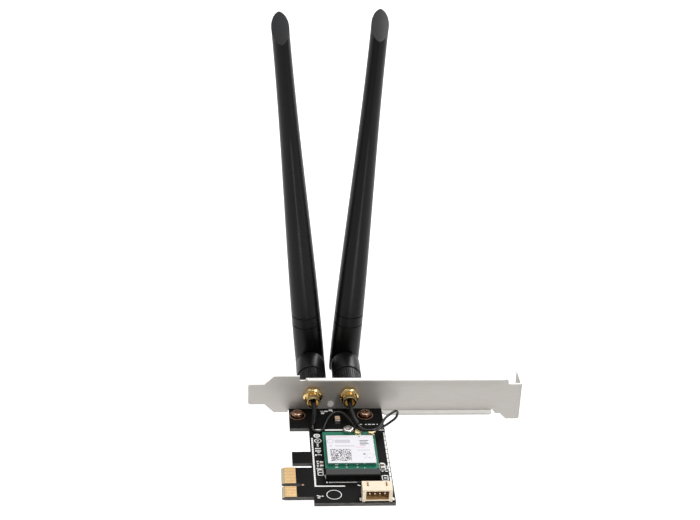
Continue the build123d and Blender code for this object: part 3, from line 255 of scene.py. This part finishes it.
def keep(name, bm, materials, body):
    """Makes a bmesh a piece that rides on a body."""
    mesh = bpy.data.meshes.new(name)
    bm.to_mesh(mesh)
    bm.free()
    piece = bpy.data.objects.new(name, mesh)
    bpy.context.collection.objects.link(piece)
    for material in materials:
        piece.data.materials.append(material)
    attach(piece, body)
    return piece


def finished(node, materials, edge=0.0, paint=None):
    """A copy of a CAD node with its edges rounded and its curves smooth; paint picks a face's material."""
    bm = bmesh.new()
    bm.from_mesh(nodes[node].data)
    bmesh.ops.remove_doubles(bm, verts=bm.verts, dist=WELD)
    if edge:
        bmesh.ops.dissolve_limit(bm, angle_limit=radians(FLAT_ANGLE), verts=bm.verts, edges=bm.edges)
        corners = [e for e in bm.edges if e.is_manifold and e.calc_face_angle() > radians(CORNER_ANGLE)]
        round_edges(bm, corners, edge)
    for face in bm.faces:
        face.smooth = True
        face.material_index = paint(face) if paint else 0
    for e in bm.edges:
        e.smooth = not (e.is_manifold and e.calc_face_angle() > radians(CORNER_ANGLE))
    piece = keep(node + "_finished", bm, materials, body_of_node[node])
    if edge:
        weighted = piece.modifiers.new("even_faces", "WEIGHTED_NORMAL")
        weighted.keep_sharp = True
    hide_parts(node)
    return piece


def stroke(bm, start, end, width, low, high):
    """A straight bar between two points of the layout, between two heights."""
    a = place(*start, (low + high) / 2)
    b = place(*end, (low + high) / 2)
    size = Matrix.Diagonal(((b - a).length, width * MM, (high - low) * MM, 1))
    turn = (b - a).to_track_quat("X", "Z").to_matrix().to_4x4()
    bmesh.ops.create_cube(bm, size=1.0, matrix=Matrix.Translation((a + b) / 2) @ turn @ size)


def ring(bm, x, y, inner, outer, low, high, steps=RING_STEPS):
    """A flat ring: a small section spun round an upright axis."""
    corners = ((inner, low), (outer, low), (outer, high), (inner, high))
    verts = [bm.verts.new(place(x + r, y, z)) for r, z in corners]
    edges = [bm.edges.new((a, b)) for a, b in zip(verts, verts[1:] + verts[:1])]
    bmesh.ops.spin(bm, geom=verts + edges, cent=place(x, y, low), axis=(0, 0, 1), angle=2 * pi,
                   steps=steps, use_merge=True)
    bmesh.ops.recalc_face_normals(bm, faces=bm.faces)


def frame_lines(bm, x, y, half_x, half_y, width, low, high):
    """The outline of a rectangle."""
    stroke(bm, (x - half_x, y - half_y), (x + half_x, y - half_y), width, low, high)
    stroke(bm, (x - half_x, y + half_y), (x + half_x, y + half_y), width, low, high)
    stroke(bm, (x - half_x, y - half_y), (x - half_x, y + half_y), width, low, high)
    stroke(bm, (x + half_x, y - half_y), (x + half_x, y + half_y), width, low, high)


def dashes(bm, start, end, count, filled, width, low, high):
    """A broken line: so many dashes, each filling a share of its pitch."""
    run = Vector(end) - Vector(start)
    for i in range(count):
        stroke(bm, Vector(start) + run * (i / count), Vector(start) + run * ((i + filled) / count),
               width, low, high)


# Leads from the jacks to the radio module, each with its heat-shrink sleeve

LEAD_DIAMETER = 1.13
SLEEVE_DIAMETER = 2.0
SLEEVE_LENGTHS = {"left": 13.0, "right": 16.8}
RECEPTACLES = {"left": (46.1, -23.7), "right": (51.7, -23.7)}
PLUG_TAIL_LENGTH = 1.9
PLUG_LEAD_Z = -3.685
CURVE_STEPS = 10
TUBE_STEPS = 5
SLEEVE_END_SHARE = 0.86
ROUTES = {
    "left": [
        (28.0, -4.35, 0.0), (28.0, -6.6, 0.0), (28.3, -8.9, -0.55), (28.4, -11.0, -1.75),
        (28.25, -12.6, -3.1), (28.05, -13.9, -4.5), (27.7, -15.2, -5.6), (27.25, -16.9, -6.25),
        (28.15, -18.55, -6.42), (29.9, -19.1, -6.42), (31.5, -18.2, -6.42), (32.25, -16.4, -6.25),
        (32.95, -14.4, -5.75), (33.8, -12.2, -5.15), (35.2, -9.7, -4.5), (37.4, -7.7, -4.0),
        (40.3, -8.5, -3.6), (42.4, -11.8, -3.6), (43.8, -15.6, PLUG_LEAD_Z), (44.7, -18.7, PLUG_LEAD_Z)],
    "right": [
        (43.75, -4.35, 0.0), (43.75, -6.8, 0.0), (43.9, -9.4, -0.4), (44.1, -12.2, -0.75),
        (44.6, -15.2, -1.2), (45.4, -18.0, -1.65), (46.4, -20.8, -2.1), (48.2, -23.9, -2.3),
        (51.3, -24.8, -2.1), (54.4, -24.0, -1.9), (56.3, -20.9, -1.6), (58.0, -17.0, -1.1),
        (60.6, -13.9, -1.1), (63.58, -10.78, -1.2), (64.4, -9.9, -3.25), (63.58, -10.78, -5.3),
        (61.0, -13.8, -5.2), (58.3, -17.4, -4.7), (55.6, -20.9, PLUG_LEAD_Z)]}


def lead_points(side):
    """The whole route of a lead, to the face of its plug's tail."""
    plug = Vector((*RECEPTACLES[side], PLUG_LEAD_Z))
    away = (Vector(ROUTES[side][-1]) - plug).normalized() * PLUG_TAIL_LENGTH
    return ROUTES[side] + [tuple(plug + away)]


def lead_curve(side):
    """The lead's line: a smooth curve with the route's points as its control points."""
    curve = bpy.data.curves.new(side + "_lead", "CURVE")
    curve.dimensions = "3D"
    spline = curve.splines.new("NURBS")
    route = lead_points(side)
    spline.points.add(len(route) - 1)
    for point, xyz in zip(spline.points, route):
        point.co = (*place(*xyz), 1.0)
    spline.order_u = 3
    spline.use_endpoint_u = True
    spline.resolution_u = CURVE_STEPS
    return curve


def sleeve_tube(side, line):
    """A shrunk sleeve over the first stretch of a lead, narrower at its far end."""
    stretch = [line[0]]
    length = 0.0
    for before, after in zip(line, line[1:]):
        length += (after - before).length / MM
        if length > SLEEVE_LENGTHS[side]:
            break
        stretch.append(after)
    curve = bpy.data.curves.new(side + "_sleeve_line", "CURVE")
    curve.dimensions = "3D"
    curve.bevel_depth = SLEEVE_DIAMETER / 2 * MM
    curve.bevel_resolution = TUBE_STEPS
    curve.use_fill_caps = True
    spline = curve.splines.new("POLY")
    spline.points.add(len(stretch) - 1)
    for point, xyz in zip(spline.points, stretch):
        point.co = (*xyz, 1.0)
    spline.points[-1].radius = SLEEVE_END_SHARE
    holder = bpy.data.objects.new(side + "_sleeve_line", curve)
    mesh = bpy.data.meshes.new_from_object(holder)
    bpy.data.objects.remove(holder)
    bpy.data.curves.remove(curve)
    bm = bmesh.new()
    bm.from_mesh(mesh)
    bpy.data.meshes.remove(mesh)
    for face in bm.faces:
        face.smooth = True
    piece = keep(side + "_sleeve", bm, [shrink_sleeve], "card")
    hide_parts(side + "_lead_sleeve")
    return piece


for side in SIDES:
    curve = lead_curve(side)
    lead = bpy.data.objects.new(side + "_lead", curve)
    bpy.context.collection.objects.link(lead)
    bare = bpy.data.meshes.new_from_object(lead)
    line = [v.co.copy() for v in bare.vertices]
    bpy.data.meshes.remove(bare)
    curve.bevel_depth = LEAD_DIAMETER / 2 * MM
    curve.bevel_resolution = TUBE_STEPS
    curve.use_fill_caps = True
    curve.materials.append(lead_jacket)
    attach(lead, "card")
    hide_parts(side + "_pigtail_lead")
    sleeve = sleeve_tube(side, line)
    plug = finished(side + "_pigtail_plug", [plug_gold], 0.06)


# The rest of the CAD nodes, finished

EDGE_BEVEL_END = 14.5
TIP_START = 0.135
HEADER_SKIN = (1.2, 0.4, 0.6)


def board_faces(face):
    """Mask on the board's faces, straw-coloured bevels at the connector, bare fibre on the cut edges."""
    if abs(face.normal.z) > 1 - WELD:
        return 0
    return 2 if face.calc_center_median().x < place(EDGE_BEVEL_END, 0).x else 1


def bracket_faces(face):
    """The painted highlight where a flange faces up: a lighter copy of the sheet."""
    return 1 if face.normal.z > LEVEL else 0


def socket_faces(face):
    """The painted shade on the socket's front."""
    return 1 if face.normal.y < -LEVEL else 0


def header_faces(face):
    """The shaded colour inside the header's mouth."""
    low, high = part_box("header_housing")
    centre = face.calc_center_median()
    skin = [width * MM for width in HEADER_SKIN]
    return int(all(low[i] + skin[i] < centre[i] < high[i] - skin[i] for i in range(3)))


def shell_faces(face):
    """The lighter painted-highlight finish on the sloping tip's upward faces, the polished one elsewhere."""
    return 1 if face.calc_center_median().z > TIP_START and face.normal.z > LEVEL else 0


for node, material, edge in (
        ("edge_contacts", hard_gold, 0.01), ("bracket_screws", screw_copper, 0.06),
        ("module_board", green_mask, 0.04), ("module_shield", tinned_steel, 0.05),
        ("module_label", label_paper, 0.02),
        ("module_standoff", turned_brass, 0.05), ("module_screw", nickel, 0.05),
        ("module_socket_contacts", tin_plate, 0.02), ("coax_receptacles", plug_gold, 0.03),
        ("header_pins", tin_plate, 0.05), ("chip_capacitors", brown_ceramic, 0.08),
        ("chip_resistors", resistor_glaze, 0.05), ("filter_capacitor", beige_case, 0.12),
        ("jack_washers", nickel, 0.06), ("jack_nuts", jack_gold, 0.2)):
    finished(node, [material], edge)
# The bracket, with a painted highlight on the upward faces of its flanges
finished("bracket", [zinc_plate, lit_flange_zinc], 0.08, bracket_faces)
finished("circuit_board", [black_mask, glass_fibre, bevel_fibre], 0.04, board_faces)
# The socket, with painted shade on its front faces
finished("module_socket", [socket_polymer, shaded_socket_front], 0.06, socket_faces)
# The header, with painted shade on the faces inside its mouth
finished("header_housing", [cream_nylon, shaded_amber_nylon], 0.1, header_faces)
for side in SIDES:
    finished(side + "_jack_body", [jack_gold], 0.16)
    finished(side + "_coupling_ring", [ring_abs])
    finished(side + "_swivel_base", [ring_abs])
    finished(side + "_antenna_shell", [satin_abs, lit_tip_abs], 0.0, shell_faces)
    finished(side + "_hinge_pins", [nickel], 0.1)
    finished(side + "_coupling_nut", [turned_brass], 0.08)
    finished(side + "_antenna_plug", [turned_brass], 0.08)
    for part, material in (("feed_base", lead_jacket), ("feed_rod", lead_jacket),
                           ("dipole_sleeve", drawn_brass), ("dipole_whip", bare_copper)):
        finished(f"{side}_{part}", [material])
for node, material in (("jack_insulators", fluoropolymer), ("plug_insulators", fluoropolymer),
                       ("jack_contacts", plug_gold), ("plug_contacts", plug_gold)):
    finished(node, [material])


# Print on the board, in plain lines and outlines

INK = 0.03
INK_LOW = BOARD_TOP - INK / 3
INK_HIGH = BOARD_TOP + INK
BROAD = 1.2
DASH = 1.0
BLOCK = 0.8
LINE = 0.7
MARK = 0.5
THIN = 0.35
PRINT_RING_STEPS = 48

print_bm = bmesh.new()
for start, end, width in (
        # Outline of the module's place: front and back
        ((26.5, -56.6), (38.7, -56.7), LINE),
        ((27.67, -16.9), (31.37, -16.9), DASH), ((32.57, -17.0), (40.16, -17.0), DASH),
        ((55.7, -17.25), (57.9, -17.25), LINE),
        # Marks beside the bracket
        ((31.6, -4.1), (33.0, -4.1), BROAD), ((31.3, -2.6), (32.7, -2.6), MARK),
        ((33.0, -2.6), (34.6, -2.6), DASH), ((35.0, -1.9), (36.6, -1.9), BROAD),
        ((36.4, -2.7), (36.9, -2.7), MARK),
        ((47.95, -12.9), (48.8, -12.9), MARK), ((50.1, -12.9), (50.8, -12.9), MARK),
        ((51.4, -12.9), (52.7, -12.9), MARK), ((53.1, -12.9), (54.4, -12.9), MARK),
        ((55.1, -12.9), (55.7, -12.9), MARK),
        # Marks in the column along the left edge
        ((28.7, -24.9), (29.8, -24.9), THIN), ((29.25, -24.3), (29.25, -25.5), THIN),
        ((28.6, -27.3), (29.5, -27.3), MARK), ((29.05, -27.3), (29.05, -28.8), THIN),
        ((28.6, -28.8), (29.5, -28.8), MARK), ((27.7, -35.2), (28.3, -35.2), DASH),
        ((30.0, -35.2), (30.4, -35.2), DASH), ((28.0, -39.6), (28.9, -39.6), MARK),
        ((28.2, -40.6), (28.8, -41.4), MARK), ((28.0, -42.4), (28.8, -42.4), MARK),
        ((28.1, -43.6), (28.7, -43.4), MARK), ((27.7, -44.7), (30.8, -44.7), THIN),
        # Marks in the column along the right edge
        ((56.9, -42.9), (56.9, -45.4), THIN), ((56.2, -45.3), (57.0, -45.3), THIN),
        ((54.3, -46.9), (55.0, -46.9), MARK), ((55.8, -46.9), (56.9, -46.9), MARK),
        # Marks at the front corner and in front of the socket
        ((27.1, -62.8), (28.6, -63.4), MARK), ((29.0, -63.2), (29.7, -63.2), MARK),
        ((27.3, -64.2), (28.4, -64.3), MARK), ((31.0, -49.2), (31.6, -53.0), THIN),
        ((31.6, -53.4), (31.6, -54.6), MARK), ((43.8, -56.0), (44.9, -56.6), MARK)):
    stroke(print_bm, start, end, width, INK_LOW, INK_HIGH)
dashes(print_bm, (26.86, -22.8), (26.84, -56.6), 26, 0.84, LINE, INK_LOW, INK_HIGH)
dashes(print_bm, (57.7, -19.0), (57.56, -57.0), 12, 0.88, LINE, INK_LOW, INK_HIGH)
dashes(print_bm, (32.4, -54.2), (43.6, -54.2), 22, 0.8, MARK, INK_LOW, INK_HIGH)
for y in (-30.6, -32.3):
    dashes(print_bm, (27.85, y), (30.4, y), 3, 0.8, BLOCK, INK_LOW, INK_HIGH)
for x, y, inner, outer in ((28.97, -21.2, 0.85, 1.4), (28.97, -21.2, 0.2, 0.5), (29.25, -24.9, 1.2, 1.55),
                           (34.0, -62.3, 2.78, 3.06)):
    ring(print_bm, x, y, inner, outer, INK_LOW, INK_HIGH, PRINT_RING_STEPS)
for x, y, half_x, half_y in ((29.3, -47.3, 1.0, 2.0), (54.87, -43.85, 1.15, 2.2), (55.35, -51.4, 1.15, 1.6)):
    frame_lines(print_bm, x, y, half_x, half_y, THIN, INK_LOW, INK_HIGH)
keep("board_print", print_bm, [white_ink], "card")

# Copper lands round the bracket screws, and a plated hole beside the key
SCREW_PLACES = ((21.3, -5.6), (50.65, -5.6))
LAND_INNER = 3.1
LAND_OUTER = 3.5
LAND_STEPS = 64
HOLE_PLACE = (21.8, -55.6)
HOLE_INNER = 0.2
HOLE_OUTER = 0.5
land_bm = bmesh.new()
for x, y in SCREW_PLACES:
    ring(land_bm, x, y, LAND_INNER, LAND_OUTER, INK_LOW, INK_HIGH, LAND_STEPS)
ring(land_bm, *HOLE_PLACE, HOLE_INNER, HOLE_OUTER, INK_LOW, INK_HIGH)
keep("copper_lands", land_bm, [land_copper], "card")

# Soldered ends of the chip parts: place, width, length, height and the ends' length
CAPACITOR = (1.6, 3.2, 0.9, 0.8)
RESISTOR = (1.25, 2.0, 0.5, 0.45)
FILTER = (2.1, 3.6, 1.9, 0.3)
CHIPS = ((30.0, -42.5, *CAPACITOR), (54.85, -43.9, *CAPACITOR), (29.2, -34.8, *RESISTOR),
         (29.2, -47.1, *RESISTOR), (55.35, -51.3, *RESISTOR), (38.35, -10.9, *FILTER))
CHIP_SKIN = 0.03
CHIP_ROUND = 0.08

ends_bm = bmesh.new()
for x, y, width, length, height, end in CHIPS:
    for sign in (-1, 1):
        stroke(ends_bm, (x, y + sign * (length / 2 - end)), (x, y + sign * (length / 2 + CHIP_SKIN)),
               width + 2 * CHIP_SKIN, BOARD_TOP, BOARD_TOP + height + CHIP_SKIN)
round_edges(ends_bm, ends_bm.edges[:], CHIP_ROUND)
keep("chip_ends", ends_bm, [tin_plate], "card")

# Dark band over the filter capacitor, beside its near end: a painted shade line between its top and its
# tinned end
BAND_START = 0.35
BAND_WIDTH = 0.45
x, y, width, length, height = CHIPS[-1][:5]
near = y - length / 2 + BAND_START
shade_band_bm = bmesh.new()
stroke(shade_band_bm, (x, near), (x, near + BAND_WIDTH), width + CHIP_SKIN, BOARD_TOP,
       BOARD_TOP + height + CHIP_SKIN)
round_edges(shade_band_bm, shade_band_bm.edges[:], CHIP_SKIN, 1)
keep("filter_shade_band", shade_band_bm, [resistor_glaze], "card")

# Print on the module's label, in plain fields and bars, and marks on the module's near strip
LABEL_TOP = top_of("module_label")
LABEL_INK = 0.02
LABEL_HIGH = LABEL_TOP + LABEL_INK
LABEL_LOW = LABEL_TOP - LABEL_INK / 2
for name, material, marks, rings in (
        ("label_grey_print", grey_ink,
         (((35.9, -31.2), (42.2, -31.2), 2.2), ((36.0, -34.6), (44.0, -34.6), 0.7),
          ((45.0, -37.6), (50.0, -37.6), 0.5), ((33.6, -34.4), (34.6, -34.4), 0.8)),
         ((34.0, -31.1, 1.1, 1.5), (49.9, -41.7, 1.5, 1.65))),
        ("label_rose_print", rose_ink,
         (((33.2, -28.1), (42.5, -27.9), 0.5), ((44.2, -35.6), (48.0, -35.6), 0.6),
          ((48.6, -28.0), (49.8, -28.0), 0.5)), ()),
        ("label_dark_print", dark_ink,
         (((45.9, -27.9), (46.6, -27.9), 0.6), ((47.2, -40.4), (48.0, -40.4), 0.9),
          ((47.6, -42.9), (47.9, -42.9), 0.4), ((49.3, -42.8), (49.6, -42.8), 0.4)), ()),
        ("label_speckled_print", speckled_ink, (((33.7, -41.0), (42.2, -41.0), 8.4),), ()),
        ("label_bar_print", dark_ink,
         (((46.2, -30.8), (49.9, -30.8), 0.5), ((46.2, -31.9), (49.4, -31.9), 0.5),
          ((46.2, -33.0), (49.9, -33.0), 0.5), ((46.2, -34.0), (48.6, -34.0), 0.4)), ())):
    marks_bm = bmesh.new()
    for start, end, width in marks:
        stroke(marks_bm, start, end, width, LABEL_LOW, LABEL_HIGH)
    for x, y, inner, outer in rings:
        ring(marks_bm, x, y, inner, outer, LABEL_LOW, LABEL_HIGH)
    keep(name, marks_bm, [material], "card")

MODULE_TOP = top_of("module_board")
STRIP_MARK = 0.4
strip_bm = bmesh.new()
for x0, x1, y in ((35.6, 36.9, -48.9), (37.6, 41.4, -49.0), (43.2, 45.0, -49.0), (35.2, 36.4, -47.4),
                  (39.6, 40.2, -47.4), (44.0, 44.6, -47.5), (47.0, 47.4, -48.0)):
    stroke(strip_bm, (x0, y), (x1, y), STRIP_MARK, MODULE_TOP - INK / 3, MODULE_TOP + INK)
keep("module_marks", strip_bm, [white_ink], "card")

# Flattened rivet face on the bracket between the jacks
RIVET_PLACE = (35.875, -4.95)
RIVET_RADIUS = 1.42
RIVET_FACE = -0.25
RIVET_TAPER = 0.92
RIVET_THICKNESS = 0.06
RIVET_PROUD = 0.01
rivet_bm = bmesh.new()
rivet_turn = Matrix.Rotation(radians(90), 4, "X")
rivet_at = Matrix.Translation(place(RIVET_PLACE[0], RIVET_FACE - RIVET_PROUD, RIVET_PLACE[1]))
bmesh.ops.create_cone(rivet_bm, cap_ends=True, segments=RING_STEPS, radius1=RIVET_RADIUS * MM,
                      radius2=RIVET_RADIUS * RIVET_TAPER * MM, depth=RIVET_THICKNESS * MM,
                      matrix=rivet_at @ rivet_turn)
keep("rivet_face", rivet_bm, [rivet_steel], "card")


# Light, floor and background

FLOOR_DROP = 0.14
FLOOR_SIZE = 8.0
SKY_STRENGTH = 0.35

floor_bm = bmesh.new()
bmesh.ops.create_grid(floor_bm, x_segments=1, y_segments=1, size=FLOOR_SIZE / 2,
                      matrix=Matrix.Translation((0, 0, -FLOOR_DROP)))
floor_mesh = bpy.data.meshes.new("floor")
floor_bm.to_mesh(floor_mesh)
floor_bm.free()
floor = bpy.data.objects.new("floor", floor_mesh)
bpy.context.collection.objects.link(floor)
floor.data.materials.append(surface("pale_floor", "#F6F6F6", "#FBFBFB", 40.0, (0.85, 0.95), sockets=SOFT))

world = bpy.data.worlds.new("studio")
world.use_nodes = True
sky = world.node_tree.nodes["Background"]
sky.inputs["Color"].default_value = (1, 1, 1, 1)
sky.inputs["Strength"].default_value = SKY_STRENGTH
bpy.context.scene.world = world
bpy.context.scene.view_settings.view_transform = "Standard"


def soft_light(name, location, target, width, height, power):
    """A rectangular soft box that faces a point."""
    data = bpy.data.lights.new(name, "AREA")
    data.shape = "RECTANGLE"
    data.size = width
    data.size_y = height
    data.energy = power
    light = bpy.data.objects.new(name, data)
    light.location = location
    light.rotation_euler = (Vector(target) - Vector(location)).to_track_quat("-Z", "Y").to_euler()
    bpy.context.collection.objects.link(light)


RODS_MIDDLE = (-0.085, 0.025, 0.07)
soft_light("overhead_box", (-0.1, 0.65, 1.6), (-0.1, 0.65, 0.0), 3.0, 2.7, 43.0)
soft_light("low_front_box", (-0.06, -0.4, -0.12), RODS_MIDDLE, 0.1, 0.14, 0.4)
soft_light("front_right_box", (0.45, -0.66, 1.0), RODS_MIDDLE, 0.3, 0.3, 4.0)
soft_light("back_right_box", (0.55, 1.2, 0.75), RODS_MIDDLE, 0.5, 0.7, 10.0)
